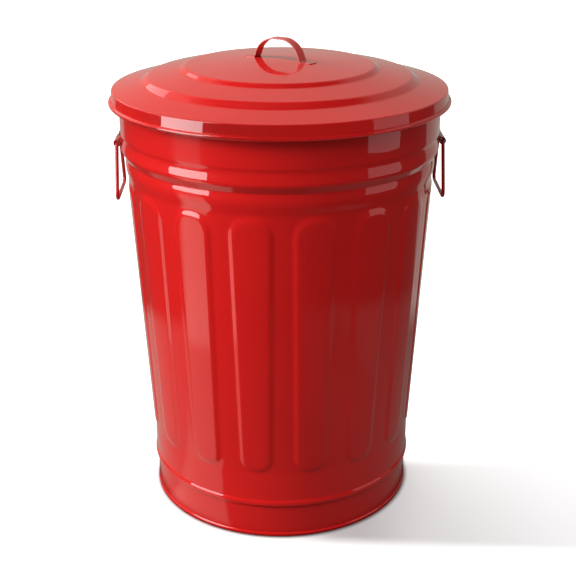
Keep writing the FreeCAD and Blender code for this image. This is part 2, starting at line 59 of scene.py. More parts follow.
SHEET = 0.7
WALL_FOOT = 184.8
WALL_FLARE = 0.056
WALL_LOW = 48
HEM_RADIUS = 188.4
HEM_TOP = 57.7
BASE_BEAD_RADIUS = 190.7
BASE_BEAD_LOW = 50.6
BASE_BEAD_HIGH = 55.6
BASE_BEAD_ROUND = 1.2
COLLAR_RADIUS = 218.3
CREASE_DEPTH = 1.1
RIM_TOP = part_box("body_shell")[1][2] / MM
RIM_ROLL = 6
RIM_ROUND = 2.9
SEAM_OUT = 0.8
SEAM_SHEET = 1.1
SEAM_HALF_TURN = math.radians(1.2)

BAND_RADIUS = 187.3
BAND_TOP = 57.2
FOOT_ROLL_OUT = 1.3
FOOT_ROLL_IN = 4
FOOT_ROLL_TOP = 5.8
PAN_HEIGHT = 20.7
PAN_ROUND = 1.7

FLUTES = 16
HALF_PITCH = math.pi / FLUTES
FLUTE_DEPTH = 1.8
FLUTE_LOW = 101.5
FLUTE_HIGH = 478
FLUTE_HALF = 29
FLUTE_HALF_AT = 405
FLUTE_SPLAY = 0.0189
FLUTE_RAMP = 6.6
FLUTE_HIGH_RAMP = 10.6
FLUTE_ROUND = 0.88
RAMP_SOFTNESS = 0.25
CREST_COLUMNS = 6
RAMP_COLUMNS = 5
VALLEY_COLUMNS = 3
HALF_COLUMNS = CREST_COLUMNS + RAMP_COLUMNS + VALLEY_COLUMNS
WALL_COLUMNS = 2 * FLUTES * HALF_COLUMNS
END_ROWS = 2.4
SIDE_ROWS = 24.0

LID_BEAD_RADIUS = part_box("lid_pan")[1][0] / MM
LID_BEAD_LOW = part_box("lid_pan")[0][2] / MM
LID_BEAD = 5.5
LID_BEAD_ROUND = 2.7
LID_COLUMNS = 320
LID_RADIUS = 227.3
LID_EDGE = 597.2
SKIRT_RADIUS = 228.4
SKIRT_INSIDE = 227.8

STRAP_TURN = math.radians(-33.3)
STRAP_WIDTH = 16
STRAP_SHEET = 1.6
STRAP_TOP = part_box("lid_handle")[1][2] / MM
STRAP_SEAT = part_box("lid_handle")[0][2] / MM
STRAP_TIP = 54
STRAP_KNEE = 36
STRAP_KNEE_ROUND = 3.4
STRAP_SHOULDER = 25
STRAP_SHOULDER_ROUND = 18.5
STRAP_FALL = 0.78
STRAP_TIP_LIFT = 0.9
STRAP_TIP_ROUND = 4

EAR_SHEET = 1.2
EAR_HALF = 18
EAR_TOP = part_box("ear_right")[1][2] / MM
EAR_LIFT = 4
EAR_TAPER = 0.5
EAR_CURVING = 6
KNUCKLE_RADIUS = 3.8
PIVOT_RADIUS = PIVOTS["right_bail_swing"][0] / MM
PIVOT_HEIGHT = PIVOTS["right_bail_swing"][2] / MM
BAIL_WIRE = 2.5
WIRE_SIDES = 16
BEND_STEPS = 8

SHARP = 1.2
WELD = 0.001 * MM


def crest_radius(height):
    """Radius of the cone through the flute crests at a height."""
    return WALL_FOOT + WALL_FLARE * height


# --- mesh tools -------------------------------------------------------------------------


def round_off(mesh, geom, size, segments, affect="VERTICES"):
    """Rounds corners or edges off over a size to each side of them."""
    bmesh.ops.bevel(
        mesh,
        geom=geom,
        offset=size * MM,
        offset_type="OFFSET",
        segments=segments,
        profile=0.5,
        affect=affect,
        material=-1,
    )


def round_sharp_edges(mesh, size):
    """Rounds off the edges whose faces turn by more than the sharp angle, in radians."""
    edges = [edge for edge in mesh.edges if edge.calc_face_angle(0) > SHARP]
    round_off(mesh, edges, size, 2, "EDGES")


def chain(corners, closed=False, segments=4):
    """Edges through the corners (radius, height) or (radius, height, reach), in the XZ plane.

    A corner with a reach is rounded off from that far before it to that far after it.
    """
    mesh = bmesh.new()
    verts = [mesh.verts.new((corner[0] * MM, 0, corner[1] * MM)) for corner in corners]
    for start, end in zip(verts, verts[1:] + verts[: 1 if closed else 0]):
        mesh.edges.new((start, end))
    for vert, corner in zip(verts, corners):
        if len(corner) > 2:
            round_off(mesh, [vert], corner[2], segments)
    return mesh


def divide_rows(mesh, spacing):
    """Divides each edge of a chain so that its rows lie as close as spacing(height) asks."""
    for edge in mesh.edges[:]:
        height = (edge.verts[0].co.z + edge.verts[1].co.z) / 2 / MM
        cuts = math.ceil(edge.calc_length() / MM / spacing(height)) - 1
        if cuts > 0:
            bmesh.ops.subdivide_edges(mesh, edges=[edge], cuts=cuts)


def turn_round(mesh, columns):
    """Spins a chain once round the Z axis and closes its seam and poles."""
    bmesh.ops.spin(
        mesh,
        geom=mesh.verts[:] + mesh.edges[:],
        cent=(0, 0, 0),
        axis=(0, 0, 1),
        angle=2 * math.pi,
        steps=columns,
        use_merge=True,
    )
    bmesh.ops.remove_doubles(mesh, verts=mesh.verts[:], dist=WELD)
    bmesh.ops.dissolve_degenerate(mesh, edges=mesh.edges[:], dist=WELD / 2)


def piece(name, mesh, body, finish, replaces=(), weighted=True):
    """Makes an object of a mesh, which rides on a body and may stand for CAD nodes."""
    bmesh.ops.recalc_face_normals(mesh, faces=mesh.faces[:])
    for face in mesh.faces:
        face.smooth = True
    data = bpy.data.meshes.new(name)
    mesh.to_mesh(data)
    mesh.free()
    data.materials.append(finish)
    thing = bpy.data.objects.new(name, data)
    bpy.context.scene.collection.objects.link(thing)
    if weighted:
        thing.modifiers.new("even shading", "WEIGHTED_NORMAL").weight = 50
    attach(thing, body)
    if replaces:
        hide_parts(*replaces)
    return thing


# --- finishes ---------------------------------------------------------------------------


class Value:
    """A socket of a finish's nodes that can be used in arithmetic."""

    def __init__(self, finish, socket):
        self.finish = finish
        self.socket = socket

    def _math(self, operation, *terms):
        return self.finish.node("ShaderNodeMath", {"operation": operation}, dict(enumerate(terms)))

    def __add__(self, other):
        return self._math("ADD", self, other)

    __radd__ = __add__

    def __sub__(self, other):
        return self._math("SUBTRACT", self, other)

    def __rsub__(self, other):
        return self._math("SUBTRACT", other, self)

    def __mul__(self, other):
        return self._math("MULTIPLY", self, other)

    __rmul__ = __mul__

    def __truediv__(self, other):
        return self._math("DIVIDE", self, other)

    def __getitem__(self, name):
        """Another output of the same node."""
        return Value(self.finish, self.socket.node.outputs[name])

    def rise(self, low, high):
        """A smooth rise from 0 to 1 while this value goes from low to high."""
        values = {"Value": self, "From Min": low, "From Max": high}
        return self.finish.node("ShaderNodeMapRange", {"interpolation_type": "SMOOTHSTEP"}, values)


class Finish:
    """The nodes of a material or of the world."""

    def __init__(self, owner):
        owner.use_nodes = True
        self.tree = owner.node_tree
        self.tree.nodes.clear()

    def node(self, kind, settings=None, values=None, output=0):
        """A node with its settings made first, then its inputs set or linked."""
        made = self.tree.nodes.new(kind)
        for name, setting in (settings or {}).items():
            setattr(made, name, setting)
        for place, value in (values or {}).items():
            if isinstance(value, Value):
                self.tree.links.new(value.socket, made.inputs[place])
            else:
                made.inputs[place].default_value = value
        return Value(self, made.outputs[output]) if made.outputs else None

    def noise(self, where, scale, detail):
        """Cloudy noise of so many clumps per metre, from 0 to 1."""
        values = {"Vector": where, "Scale": scale, "Detail": detail}
        return self.node("ShaderNodeTexNoise", None, values)

    def blend(self, share, low, high):
        """A mix of two colours."""
        return self.node("ShaderNodeMix", {"data_type": "RGBA"}, {0: share, 6: low, 7: high}, 2)

    def warm(self, level):
        """A grey level as warm white light."""
        return self.node("ShaderNodeVectorMath", {"operation": "SCALE"}, {0: WARM_WHITE, 3: level})

    def split(self, vector):
        """The three parts of a vector."""
        parts = self.node("ShaderNodeSeparateXYZ", None, {0: vector})
        return parts["X"], parts["Y"], parts["Z"]


WARM_WHITE = (1.03, 1.0, 0.88)
ENAMEL = (0.63, 0.0105, 0.0095, 1)
ENAMEL_DEEP = (0.56, 0.0085, 0.008, 1)
# The fittings' reds are the can's enamel made darker, to paint in the shade that the thin bails
# and ears show.
FITTINGS_SHADED_RED = (0.42, 0.008, 0.008, 1)
FITTINGS_SHADED_DEEP = (0.34, 0.007, 0.007, 1)
WIRE_GREY = (0.55, 0.56, 0.57, 1)

# Heights in metres of the press's faint waves and of the enamel's orange peel.
WAVE_HEIGHT = 0.00005
PEEL_HEIGHT = 0.0000006


def make_enamel(name, red=ENAMEL, deep=ENAMEL_DEEP, grain_shift=0.0, waves=1.0):
    """Glossy red enamel over sheet steel, which keeps faint waves from the press."""
    material = bpy.data.materials.new(name)
    finish = Finish(material)
    object_place = finish.node("ShaderNodeTexCoord", output="Object")
    place = finish.node("ShaderNodeMapping", None, {0: object_place, 1: (grain_shift, 0, 0)})
    dents = finish.noise(place, 16.0, 1.0) * (WAVE_HEIGHT * waves)
    peel = finish.noise(place, 700.0, 1.0) * PEEL_HEIGHT
    bump = finish.node("ShaderNodeBump", None, {"Distance": 1.0, "Height": dents + peel})
    surface = finish.node(
        "ShaderNodeBsdfPrincipled",
        None,
        {
            "Base Color": finish.blend(finish.noise(place, 9.0, 3.0), red, deep),
            "Roughness": finish.noise(place, 60.0, 4.0) * 0.08 + 0.3,
            "Specular IOR Level": 0.04,
            "Coat Weight": 1.0,
            "Coat Roughness": 0.03,
            "Normal": bump,
        },
    )
    finish.node("ShaderNodeOutputMaterial", None, {"Surface": surface})
    return material


def make_steel(name):
    """Plain drawn steel wire, which is shut inside the rolled edges."""
    material = bpy.data.materials.new(name)
    finish = Finish(material)
    streaks = finish.noise(finish.node("ShaderNodeTexCoord", output="Object"), 400.0, 3.0)
    values = {"Base Color": WIRE_GREY, "Metallic": 1.0, "Roughness": streaks * 0.2 + 0.3}
    surface = finish.node("ShaderNodeBsdfPrincipled", None, values)
    finish.node("ShaderNodeOutputMaterial", None, {"Surface": surface})
    return material


CAN_ENAMEL = make_enamel("can_enamel")
LID_ENAMEL = make_enamel("lid_enamel", grain_shift=3.0)
# Enamel for the ears, rivets and bails, whose darker reds are painted shade.
FITTINGS_SHADED_ENAMEL = make_enamel("fittings_shaded_enamel", FITTINGS_SHADED_RED, FITTINGS_SHADED_DEEP, 7.0, 0.3)
STEEL = make_steel("drawn_wire")


# --- can --------------------------------------------------------------------------------

# The wall's outer face between the base bead and the neck: radius, height, reach.
TAPER = (
    (188.9, 58.8, 0.8),
    (crest_radius(88) - 0.5, 88, 6),
    (crest_radius(101) - 1.7, 101, 5),
    (crest_radius(140) - FLUTE_DEPTH, 140, 12),
    (crest_radius(440) - FLUTE_DEPTH, 440, 12),
    (crest_radius(479) - 1.75, 479, 3),
    (213.0, 492.5, 4.4),
    (212.9, 500.5, 3.2),
)
# The neck and the collar with its crease, in the same way.
COLLAR = (
    (212.0, 507.5, 0.7),
    (COLLAR_RADIUS, 517.5, 2.4),
    (COLLAR_RADIUS, 522, 1.4),
    (COLLAR_RADIUS - CREASE_DEPTH, 531, 1.6),
    (COLLAR_RADIUS - CREASE_DEPTH, 536, 1.4),
    (COLLAR_RADIUS, 540, 1.4),
)


def inset(corners, depth):
    """The same corners closer to the axis by a depth."""
    return [(corner[0] - depth, *corner[1:]) for corner in corners]


def depth_inside(side, height, half_width, low, high):
    """How deep a place lies inside a rounded outline, and below zero outside it."""
    corner = FLUTE_ROUND * half_width
    across = abs(side) - half_width + corner
    along = abs(height - (low + high) / 2) - (high - low) / 2 + corner
    outside = math.hypot(max(across, 0), max(along, 0)) + min(max(across, along), 0)
    return corner - outside


def flute_share(side, height):
    """How far up a flute's ramp a place is: 0 at the ramp's foot and 1 on the crest."""
    half_width = flute_half(height)
    foot = depth_inside(side, height, half_width, FLUTE_LOW, FLUTE_HIGH)
    crest_ends = FLUTE_LOW + FLUTE_RAMP, FLUTE_HIGH - FLUTE_HIGH_RAMP
    crest = -depth_inside(side, height, half_width - FLUTE_RAMP, *crest_ends)
    if foot <= 0:
        return 0
    if crest <= 0:
        return 1
    share = foot / (foot + crest)
    return share - RAMP_SOFTNESS * math.sin(2 * math.pi * share) / (2 * math.pi)


def flute_half(height):
    """Half the width of a flute over its ramps at a height, within the flute's own length."""
    height = min(max(height, FLUTE_LOW), FLUTE_HIGH)
    return FLUTE_HALF + FLUTE_SPLAY * (height - FLUTE_HALF_AT)


def flute_column(share, height):
    """The angle from a flute's middle to a column, whose share of the half pitch is even."""
    radius = crest_radius(height)
    foot = flute_half(height) / radius
    crest = (flute_half(height) - FLUTE_RAMP) / radius
    column = share * HALF_COLUMNS
    if column <= CREST_COLUMNS:
        return crest * column / CREST_COLUMNS
    if column <= CREST_COLUMNS + RAMP_COLUMNS:
        return crest + (foot - crest) * (column - CREST_COLUMNS) / RAMP_COLUMNS
    return foot + (HALF_PITCH - foot) * (column - CREST_COLUMNS - RAMP_COLUMNS) / VALLEY_COLUMNS


def press_flutes(mesh):
    """Draws the columns to the flutes' ramps and presses the flutes out to the crest cone."""
    for vert in mesh.verts:
        height = vert.co.z / MM
        radius = math.hypot(vert.co.x, vert.co.y) / MM
        angle = math.atan2(vert.co.y, vert.co.x)
        middle = (2 * math.floor(angle / (2 * HALF_PITCH)) + 1) * HALF_PITCH
        offset = angle - middle
        share = min(abs(offset) / HALF_PITCH, 1)
        turned = math.copysign(flute_column(share, height), offset)
        if FLUTE_LOW - 1 < height < FLUTE_HIGH + 1:
            rise = max(crest_radius(height) - wall_radius(height), 0)
            radius += rise * flute_share(turned * crest_radius(height), height)
        vert.co.x = radius * MM * math.cos(middle + turned)
        vert.co.y = radius * MM * math.sin(middle + turned)


def wall_radius(height):
    """Radius of the outer face between flutes."""
    for low, high in zip(TAPER, TAPER[1:]):
        if low[1] <= height <= high[1]:
            return low[0] + (high[0] - low[0]) * (height - low[1]) / (high[1] - low[1])
    return crest_radius(height)


def row_spacing(height):
    """Rows lie close where the flutes end and far apart along their straight sides."""
    high_end = FLUTE_HIGH - 38 < height < FLUTE_HIGH + 2
    low_end = FLUTE_LOW - 2 < height < FLUTE_LOW + 30
    return END_ROWS if high_end or low_end else SIDE_ROWS


def make_can_wall():
    """The wall as one closed skin: outer face, rolled rim, inner face and the hem at its foot."""
    roll_low = RIM_TOP - RIM_ROLL
    roll_out = COLLAR_RADIUS - SHEET + RIM_ROLL
    corners = [
        (BAND_RADIUS, WALL_LOW),
        (HEM_RADIUS, WALL_LOW, 0.4),
        (BASE_BEAD_RADIUS, BASE_BEAD_LOW, BASE_BEAD_ROUND),
        (BASE_BEAD_RADIUS, BASE_BEAD_HIGH, BASE_BEAD_ROUND),
        *TAPER,
        *COLLAR,
        (COLLAR_RADIUS, roll_low, 0.4),
        (roll_out, roll_low, RIM_ROUND),
        (roll_out, RIM_TOP, RIM_ROUND),
        (COLLAR_RADIUS - SHEET, RIM_TOP, RIM_ROUND),
        *inset(COLLAR, SHEET)[::-1],
        *inset(TAPER, SHEET)[::-1],
        (BAND_RADIUS, HEM_TOP, 0.4),
    ]
    mesh = chain(corners, closed=True, segments=3)
    divide_rows(mesh, row_spacing)
    turn_round(mesh, WALL_COLUMNS)
    press_flutes(mesh)
    piece("can_wall", mesh, "can", CAN_ENAMEL, ["body_shell"], weighted=False)


def make_back_seam():
    """The lock seam that closes the wall at the back."""
    mesh = chain([(corner[0] + SEAM_OUT, corner[1]) for corner in TAPER])
    turn(mesh, math.pi / 2 - SEAM_HALF_TURN)
    bmesh.ops.spin(
        mesh,
        geom=mesh.verts[:] + mesh.edges[:],
        cent=(0, 0, 0),
        axis=(0, 0, 1),
        angle=2 * SEAM_HALF_TURN,
        steps=3,
    )
    face_outward(mesh, Vector((0, 1, 0)))
    bmesh.ops.solidify(mesh, geom=mesh.faces[:], thickness=-SEAM_SHEET * MM)
    round_sharp_edges(mesh, 0.25)
    piece("can_back_seam", mesh, "can", CAN_ENAMEL)


def make_foot_ring():
    """The foot band, rolled outward at the floor."""
    inner = BAND_RADIUS - SHEET
    roll_out = BAND_RADIUS + FOOT_ROLL_OUT
    roll_in = inner - FOOT_ROLL_IN
    corners = [
        (inner, BAND_TOP),
        (BAND_RADIUS, BAND_TOP),
        (BAND_RADIUS, 6, 0.8),
        (roll_out, 4.8, 0.8),
        (roll_out, 0, 2.0),
        (roll_in, 0, 2.4),
        (roll_in, FOOT_ROLL_TOP, 2.8),
        (inner, FOOT_ROLL_TOP, 0.5),
    ]
    mesh = chain(corners, closed=True)
    turn_round(mesh, 256)
    piece("can_foot_ring", mesh, "can", CAN_ENAMEL, ["foot_ring"])


def make_bottom():
    """The raised bottom with its flange inside the foot band."""
    edge = BAND_RADIUS - SHEET
    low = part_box("bottom_pan")[0][2] / MM
    corners = [
        (0, PAN_HEIGHT),
        (edge, PAN_HEIGHT, PAN_ROUND + SHEET),
        (edge, low),
        (edge - SHEET, low),
        (edge - SHEET, PAN_HEIGHT - SHEET, PAN_ROUND),
        (0, PAN_HEIGHT - SHEET),
    ]
    mesh = chain(corners)
    turn_round(mesh, 192)
    piece("can_bottom", mesh, "can", CAN_ENAMEL, ["bottom_pan"])


# --- lid --------------------------------------------------------------------------------

# The lid's top from its centre outward: radius, height, reach.
LID_TOP = (
    (0, 633.6),
    (60, 631, 30),
    (127.8, 625.5, 2.2),
    (134.9, 620.6, 2.2),
    (178, 613.1, 2.4),
    (187.4, 606.1, 2.4),
)


def make_lid():
    """The stepped lid with its skirt rolled outward, as one closed skin."""
    bead_high = LID_BEAD_LOW + LID_BEAD
    bead_in = LID_BEAD_RADIUS - LID_BEAD
    corners = [
        *LID_TOP,
        (LID_RADIUS, LID_EDGE, 1.3),
        (SKIRT_RADIUS, bead_high, 0.3),
        (LID_BEAD_RADIUS, bead_high, LID_BEAD_ROUND),
        (LID_BEAD_RADIUS, LID_BEAD_LOW, LID_BEAD_ROUND),
        (bead_in, LID_BEAD_LOW, LID_BEAD_ROUND),
        (bead_in, bead_high - 0.2, 1.6),
        (SKIRT_INSIDE, bead_high + 2, 0.8),
        (LID_RADIUS - SHEET, LID_EDGE - SHEET, 0.9),
        *[(corner[0], corner[1] - SHEET, *corner[2:]) for corner in LID_TOP[::-1]],
    ]
    mesh = chain(corners)
    turn_round(mesh, LID_COLUMNS)
    piece("lid", mesh, "lid", LID_ENAMEL, ["lid_pan"])


def make_lid_handle():
    """The strap bent into an arch, with its feet turned outward along the lid's slope."""
    rise = STRAP_TOP - STRAP_SEAT - STRAP_FALL
    corners = [
        (-STRAP_TIP, STRAP_TIP_LIFT - STRAP_FALL),
        (-STRAP_KNEE, 0, STRAP_KNEE_ROUND),
        (-STRAP_SHOULDER, rise, STRAP_SHOULDER_ROUND),
    ]
    corners += [(-corner[0], *corner[1:]) for corner in corners[::-1]]
    mesh = chain(corners, segments=10)
    bmesh.ops.translate(mesh, verts=mesh.verts[:], vec=(0, -STRAP_WIDTH / 2 * MM, 0))
    swept = bmesh.ops.extrude_edge_only(mesh, edges=mesh.edges[:])
    moved = [item for item in swept["geom"] if isinstance(item, bmesh.types.BMVert)]
    bmesh.ops.translate(mesh, verts=moved, vec=(0, STRAP_WIDTH * MM, 0))
    tips = [vert for vert in mesh.verts if abs(vert.co.x) > (STRAP_TIP - 0.1) * MM]
    round_off(mesh, tips, STRAP_TIP_ROUND, 4)
    face_outward(mesh, Vector((0, 0, 1)))
    bmesh.ops.solidify(mesh, geom=mesh.faces[:], thickness=-STRAP_SHEET * MM)
    round_sharp_edges(mesh, 0.3)
    high = max(vert.co.z for vert in mesh.verts)
    bmesh.ops.translate(mesh, verts=mesh.verts[:], vec=(0, 0, STRAP_TOP * MM - high))
    turn(mesh, STRAP_TURN)
    piece("lid_strap", mesh, "lid", LID_ENAMEL, ["lid_handle"])


def turn(mesh, angle):
    """Turns a mesh about the can's axis."""
    bmesh.ops.rotate(mesh, verts=mesh.verts[:], matrix=Matrix.Rotation(angle, 3, "Z"))


def face_outward(mesh, way):
    """Turns an open sheet's faces so that the one furthest along a way looks that way."""
    bmesh.ops.recalc_face_normals(mesh, faces=mesh.faces[:])
    furthest = max(mesh.faces, key=lambda face: face.calc_center_median().dot(way))
    if furthest.normal.dot(way) < 0:
        bmesh.ops.reverse_faces(mesh, faces=mesh.faces[:])
    mesh.normal_update()


# --- ears and bails ---------------------------------------------------------------------


def to_side(mesh, side):
    """Turns a mesh that is made for the +X side to its own side."""
    if side == "left":
        turn(mesh, math.pi)


def make_ear(side):
    """A sheet plate on the collar, rolled at its foot into the knuckle."""
    face = COLLAR_RADIUS + EAR_SHEET / 2
    roll = KNUCKLE_RADIUS - EAR_SHEET / 2
    low = PIVOT_HEIGHT - roll
    high = PIVOT_HEIGHT + roll
    near = PIVOT_RADIUS - roll
    far = PIVOT_RADIUS + roll
    roll_round = roll - 0.05
    corners = [
        (face, EAR_TOP),
        (face, PIVOT_HEIGHT + 2 * EAR_LIFT),
        (face, PIVOT_HEIGHT + EAR_LIFT, 2.5),
        (near, PIVOT_HEIGHT + 1, 1.0),
        (near, low, roll_round),
        (far, low, roll_round),
        (far, high, roll_round),
        (near + 1.6, high, 0.4),
        (near + 1.0, high - 0.7),
    ]
    mesh = chain(corners)
    bmesh.ops.translate(mesh, verts=mesh.verts[:], vec=(0, -EAR_HALF * MM, 0))
    steps = 8
    bmesh.ops.spin(
        mesh,
        geom=mesh.verts[:] + mesh.edges[:],
        cent=(0, 0, 0),
        axis=(0, 1, 0),
        dvec=(0, 2 * EAR_HALF / steps * MM, 0),
        angle=0,
        steps=steps,
    )
    for vert in mesh.verts:
        above = vert.co.z / MM - PIVOT_HEIGHT - EAR_LIFT
        if above > 0:
            rise = above / (EAR_TOP - PIVOT_HEIGHT - EAR_LIFT)
            vert.co.y *= 1 - EAR_TAPER * rise
            vert.co.x -= min(above / EAR_CURVING, 1) * vert.co.y**2 / (2 * face * MM)
    tips = sorted(mesh.verts, key=lambda vert: vert.co.z)[-steps - 1 :]
    tips = [min(tips, key=lambda vert: vert.co.y), max(tips, key=lambda vert: vert.co.y)]
    round_off(mesh, tips, 2, 3)
    face_outward(mesh, Vector((1, 0, 0)))
    for vert in mesh.verts:
        vert.co += vert.normal * EAR_SHEET / 2 * MM
    bmesh.ops.solidify(mesh, geom=mesh.faces[:], thickness=-EAR_SHEET * MM)
    to_side(mesh, side)
    piece(f"ear_plate_{side}", mesh, "can", FITTINGS_SHADED_ENAMEL, [f"ear_{side}"])


def bent_wire(radius, start, runs):
    """A round wire that starts along -Y in the YZ plane and follows runs (length, degrees, bend).

    Each length is straight, and then the wire turns by the degrees on the bend radius. From
    its start it turns towards -Z.
    """
    mesh = bmesh.new()
    made = bmesh.ops.create_circle(mesh, cap_ends=True, segments=WIRE_SIDES, radius=radius * MM)
    ring = made["verts"]
    bmesh.ops.rotate(mesh, verts=ring, matrix=Matrix.Rotation(math.pi / 2, 3, "X"))
    bmesh.ops.translate(mesh, verts=ring, vec=(0, start[0] * MM, start[1] * MM))
    edges = list({edge for vert in ring for edge in vert.link_edges})
    centre = Vector((0, start[0] * MM, start[1] * MM))
    heading = Vector((0, -1, 0))
    for length, degrees, bend in runs:
        swept = bmesh.ops.extrude_edge_only(mesh, edges=edges)["geom"]
        verts = [item for item in swept if isinstance(item, bmesh.types.BMVert)]
        edges = [item for item in swept if isinstance(item, bmesh.types.BMEdge)]
        edges = [edge for edge in edges if all(vert in verts for vert in edge.verts)]
        bmesh.ops.translate(mesh, verts=verts, vec=heading * length * MM)
        centre += heading * length * MM
        if degrees:
            side = Vector((0, -heading.z, heading.y)) * bend * MM
            spun = bmesh.ops.spin(
                mesh,
                geom=verts + edges,
                cent=centre + side,
                axis=(1, 0, 0),
                angle=math.radians(degrees),
                steps=BEND_STEPS,
            )["geom_last"]
            turned = Matrix.Rotation(math.radians(degrees), 3, "X")
            edges = [item for item in spun if isinstance(item, bmesh.types.BMEdge)]
            centre = centre + side - turned @ side
            heading = turned @ heading
    bmesh.ops.edgeloop_fill(mesh, edges=edges)
    bmesh.ops.remove_doubles(mesh, verts=mesh.verts[:], dist=WELD)
    return mesh


def make_bail(side):
    """A wire bail from its end in the knuckle, down one leg, along the grip and up again."""
    shoulder, grip, drop = 21.2, 47, 72
    shoulder_bend, grip_bend = 4, 7
    leg = math.hypot(grip - shoulder, drop)
    shoulder_turn = math.degrees(math.atan2(drop, grip - shoulder))
    grip_turn = 180 - shoulder_turn
    shoulder_reach = shoulder_bend * math.tan(math.radians(shoulder_turn / 2))
    grip_reach = grip_bend * math.tan(math.radians(grip_turn / 2))
    gap = 1.5
    stub = shoulder - gap - shoulder_reach
    side_run = leg - shoulder_reach - grip_reach
    runs = [
        (stub, shoulder_turn, shoulder_bend),
        (side_run, grip_turn, grip_bend),
        (2 * (grip - grip_reach), grip_turn, grip_bend),
        (side_run, shoulder_turn, shoulder_bend),
        (stub, 0, 0),
    ]
    mesh = bent_wire(BAIL_WIRE, (-gap, 0), runs)
    pivot = (PIVOT_RADIUS * MM, 0, PIVOT_HEIGHT * MM)
    bmesh.ops.translate(mesh, verts=mesh.verts[:], vec=pivot)
    to_side(mesh, side)
    node = f"bail_{side}"
    piece(f"bail_wire_{side}", mesh, f"{side}_bail", FITTINGS_SHADED_ENAMEL, [node])


def refinish(node, finish):
    """Gives a solid that shows as it is a finish of its own."""
    slots = frame["nodes"][node].data.materials
    slots.clear()
    slots.append(finish)


make_can_wall()
make_back_seam()
make_foot_ring()
make_bottom()
make_lid()
make_lid_handle()
for side in ("left", "right"):
    make_ear(side)
    make_bail(side)
    refinish(f"ear_rivets_{side}", FITTINGS_SHADED_ENAMEL)
for node in ("body_rim_wire", "foot_wire", "lid_rim_wire"):
    refinish(node, STEEL)


# --- studio -----------------------------------------------------------------------------

CAMERA_PLACE = (-24.5, -1547.0, 924.1)
CAMERA_LENS = 71.677
CAMERA_HEADING = -1.3
CAMERA_DIP = 21.986
CAMERA_ROLL = -0.09

FLOOR_WHITE = (0.7, 0.7, 0.7, 1)
FLOOR_BOUNCE = 0.2
FLOOR_DARK = 0.05
FLOOR_HALF = 12
FOOT_REACH = 0.187
ROOM_LEVEL = 0.25
STUDIO_DARK = 0.03
LAMP_AIM = 0.35
SUN_LEVEL = 0.8


def place_camera():
    """The photograph's view: from the front, a little to the left, 22 degrees down."""
    lens = bpy.data.cameras.new("camera")
    lens.lens = CAMERA_LENS
    lens.sensor_width = 36
    lens.clip_end = 50
    camera = bpy.data.objects.new("camera", lens)
    heading = Matrix.Rotation(math.radians(CAMERA_HEADING), 4, "Z")
    pitch = Matrix.Rotation(math.radians(90 - CAMERA_DIP), 4, "X")
    roll = Matrix.Rotation(math.radians(CAMERA_ROLL), 4, "Z")
    place = Matrix.Translation(Vector(CAMERA_PLACE) * MM)
    camera.matrix_world = place @ heading @ pitch @ roll
    bpy.context.scene.collection.objects.link(camera)
    bpy.context.scene.camera = camera


def place_lamp(name, azimuth, elevation, distance, size, level):
    """A softbox of a radiance level, so many metres from the middle of the can, which it faces.

    Azimuth 0 is in front of the can and 90 is to its right.
    """
    lamp = bpy.data.lights.new(name, "AREA")
    lamp.shape = "RECTANGLE"
    lamp.size, lamp.size_y = size
    lamp.energy = level * size[0] * size[1] * math.pi
    thing = bpy.data.objects.new(name, lamp)
    way = way_to(azimuth, elevation)
    thing.location = Vector((0, 0, LAMP_AIM)) + way * distance
    thing.rotation_euler = way.to_track_quat("Z", "Y").to_euler()
    thing.visible_camera = False
    bpy.context.scene.collection.objects.link(thing)
    return thing


def way_to(azimuth, elevation):
    """The direction towards an azimuth and elevation in degrees."""
    across = math.cos(math.radians(elevation))
    azimuth = math.radians(azimuth)
    height = math.sin(math.radians(elevation))
    return Vector((math.sin(azimuth) * across, -math.cos(azimuth) * across, height))


def light_only(lamp, things, state):
    """Lets a lamp light only some things, or everything but them."""
    group = bpy.data.collections.new(lamp.name + "_receivers")
    for thing in things:
        group.objects.link(thing)
    lamp.light_linking.receiver_collection = group
    for link in group.collection_objects:
        link.light_linking.link_state = state


def distance_out(finish, x, y):
    """How far a place on the floor is from the can's axis."""
    return finish.node("ShaderNodeMath", {"operation": "SQRT"}, {0: x * x + y * y})


def past_foot(away):
    """0 under the foot's roll, where the floor's light is cut as painted shade, and 1 beyond it.
    """
    return away.rise(FOOT_REACH, 0.21)


def floor_glow(finish):
    """The light that the floor sends into the enamel, painted as a grey level over its own area.

    The paper round the can is painted dim and the floor beyond it dark, but for one bright
    painted wedge to the left, standing for a softbox's pool of light on both, and for the floor
    far behind; all of it is cut to painted shade under the foot's roll. Places are in metres
    from the can's axis, and levels are shares of white.
    """
    x, y = finish.split(finish.node("ShaderNodeTexCoord", output="Object"))[:2]
    away = distance_out(finish, x, y)
    left = 1 - x.rise(-0.06, 0.06)
    soft_side = ((y - x * 0.225 + 0.043) / away).rise(-0.07, 0.07)
    crisp_side = ((y - 0.113) / (x - 0.39)).rise(0.6, 0.63)
    wedge = left * (1 - soft_side) * (1 - crisp_side)
    strength = away.rise(0.63, 0.71) * 0.85 + 0.8
    strength = strength - away.rise(0.8, 1.1) * 0.2 - away.rise(1.2, 2.2) * 1.1
    left_paper = soft_side * (1 - x.rise(-0.25, -0.1)) * (1 - away.rise(0.68, 0.78)) * 0.34
    right_paper = x.rise(0.05, 0.3) * (1 - away.rise(0.76, 0.88)) * 0.08
    patch = x.rise(0.44, 0.6) * (1 - y.rise(-0.2, -0.05)) * (1 - away.rise(0.78, 0.86)) * 0.1
    near = (1 - away.rise(0.35, 0.8)) * 0.05
    far_side = (y - x * 0.58).rise(-0.04, 0.04) * (y + x * 1.18).rise(-0.1, 0.35)
    far = far_side * away.rise(0.6, 0.8) * 0.4
    glow = wedge * strength + left_paper + right_paper + patch + near + far + FLOOR_DARK
    return glow * past_foot(away)


